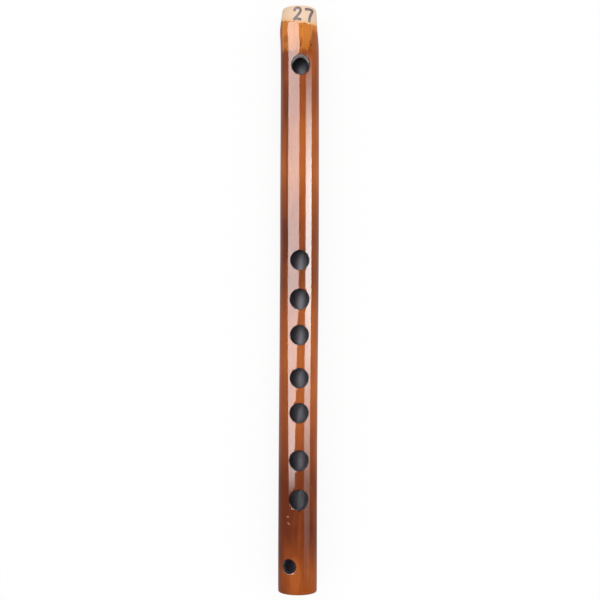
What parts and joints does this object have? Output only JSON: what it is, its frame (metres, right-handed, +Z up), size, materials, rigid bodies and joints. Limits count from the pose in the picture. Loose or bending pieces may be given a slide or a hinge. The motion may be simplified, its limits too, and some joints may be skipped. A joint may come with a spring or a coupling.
{
  "type": "transverse bamboo flute",
  "caption": "Side-blown flute: a straight cane tube with a blow hole, a row of finger holes, a small offset foot hole, a tapered bare head, and a cork that slides in the bore to tune it.",
  "frame": {"origin": "middle of the length and of the width, at the level of what the flute lies on", "axes": "+Y along the bore towards the head, +Z up through the playing holes, +X to the right of them"},
  "size_m": [0.0236, 0.35, 0.0229],
  "materials": {
    "lacquered_cane": "stained reddish brown and gloss lacquered cane, bare cream wood at the head, black bore and hole walls",
    "cork": "matt natural cork"
  },
  "bodies": {
    "flute": {"bamboo_tube": "lacquered_cane"},
    "stopper": {"cork_stopper": "cork"}
  },
  "joints": [
    {"name": "cork_slide", "type": "slide", "parent": "flute", "child": "stopper", "axis": [0, -1, 0], "range_m": [-0.0055, 0.008]}
  ]
}
